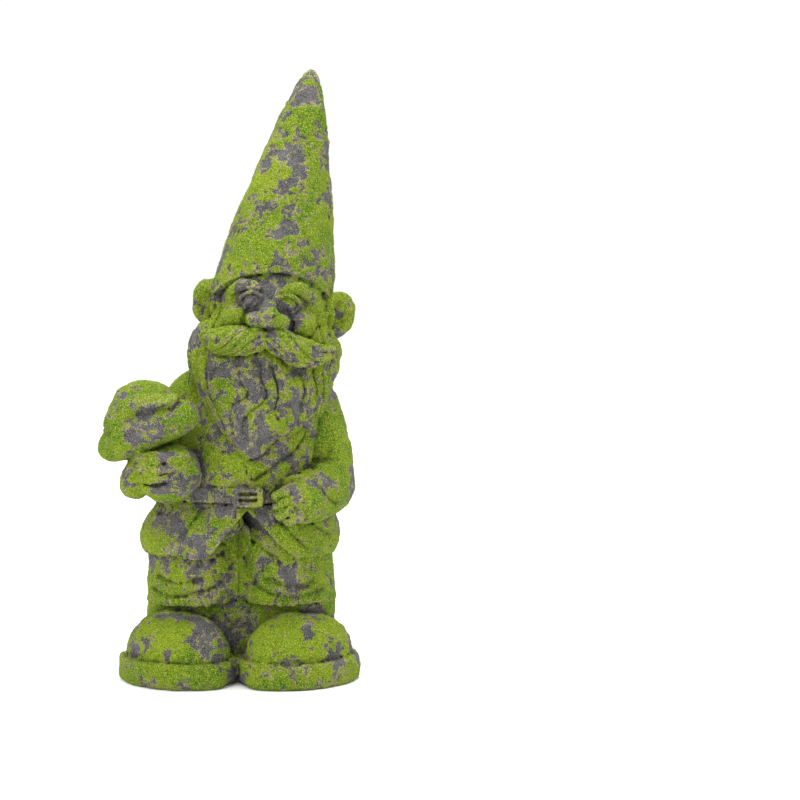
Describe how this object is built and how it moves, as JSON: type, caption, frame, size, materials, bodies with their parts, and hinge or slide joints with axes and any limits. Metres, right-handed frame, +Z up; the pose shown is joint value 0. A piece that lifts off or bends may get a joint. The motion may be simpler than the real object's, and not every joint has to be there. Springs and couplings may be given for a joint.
{
  "type": "garden gnome",
  "caption": "Standing cast-stone garden gnome with a tall pointed hat and a full beard, which holds a toadstool in one fist and rests on its two broad boots.",
  "frame": {"origin": "on the ground midway between the two boots, in the underside of the web that joins them", "axes": "+Z up through the figure, -Y forward where the figure faces, +X to the figure's left"},
  "size_m": [0.2183, 0.1527, 0.5199],
  "materials": {
    "mossy_stone": "matte grey cast stone under patches of green flock moss, with worn tan edges"
  },
  "bodies": {
    "root": {"boot_sole_right": "mossy_stone", "boot_sole_left": "mossy_stone", "boot_upper_right": "mossy_stone", "boot_upper_left": "mossy_stone", "boot_shaft_right": "mossy_stone", "boot_shaft_left": "mossy_stone", "base_web": "mossy_stone", "trouser_leg_right": "mossy_stone", "trouser_leg_left": "mossy_stone", "coat_flap_right": "mossy_stone", "coat_flap_left": "mossy_stone", "coat_tail": "mossy_stone", "coat_body": "mossy_stone", "belt": "mossy_stone", "buckle_frame": "mossy_stone", "buckle_prong": "mossy_stone", "upper_sleeve_right": "mossy_stone", "upper_sleeve_left": "mossy_stone", "lower_sleeve_right": "mossy_stone", "lower_sleeve_left": "mossy_stone", "hand_right": "mossy_stone", "hand_left": "mossy_stone", "toadstool_stem": "mossy_stone", "toadstool_cap": "mossy_stone", "head": "mossy_stone", "ear_right": "mossy_stone", "ear_left": "mossy_stone", "eye_right": "mossy_stone", "eye_left": "mossy_stone", "brow_right": "mossy_stone", "brow_left": "mossy_stone", "cheek_right": "mossy_stone", "cheek_left": "mossy_stone", "nose": "mossy_stone", "lower_lip": "mossy_stone", "moustache_right": "mossy_stone", "moustache_left": "mossy_stone", "beard": "mossy_stone", "hair": "mossy_stone", "hat": "mossy_stone"}
  },
  "joints": []
}
